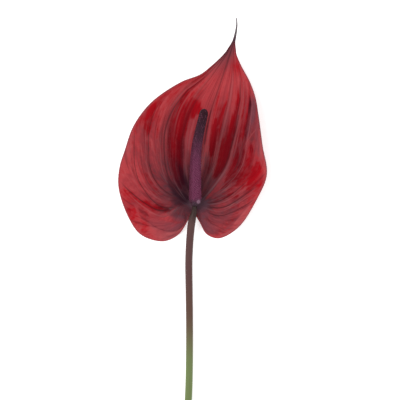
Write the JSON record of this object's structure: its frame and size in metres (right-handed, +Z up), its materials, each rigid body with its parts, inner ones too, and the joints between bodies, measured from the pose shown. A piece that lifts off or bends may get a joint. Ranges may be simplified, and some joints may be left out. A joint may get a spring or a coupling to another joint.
{
  "type": "cut anthurium stem",
  "caption": "Cut anthurium lying on its back: a long stalk, a heart-shaped waxy spathe with a thin cusp, and a tapering spadix covered with florets, for display in a vase or bouquet.",
  "frame": {"origin": "middle of the flower's footprint, on the surface that it lies on", "axes": "+Y along the stalk from its cut end toward the tip of the spathe, +Z up, out of the spathe's upper face, +X to the right as seen from above"},
  "size_m": [0.1188, 0.552, 0.0476],
  "materials": {
    "stalk": "satin",
    "spathe": "gloss",
    "spadix": "satin"
  },
  "bodies": {
    "root": {"stalk": "stalk", "spathe": "spathe", "spadix": "spadix"}
  },
  "joints": []
}
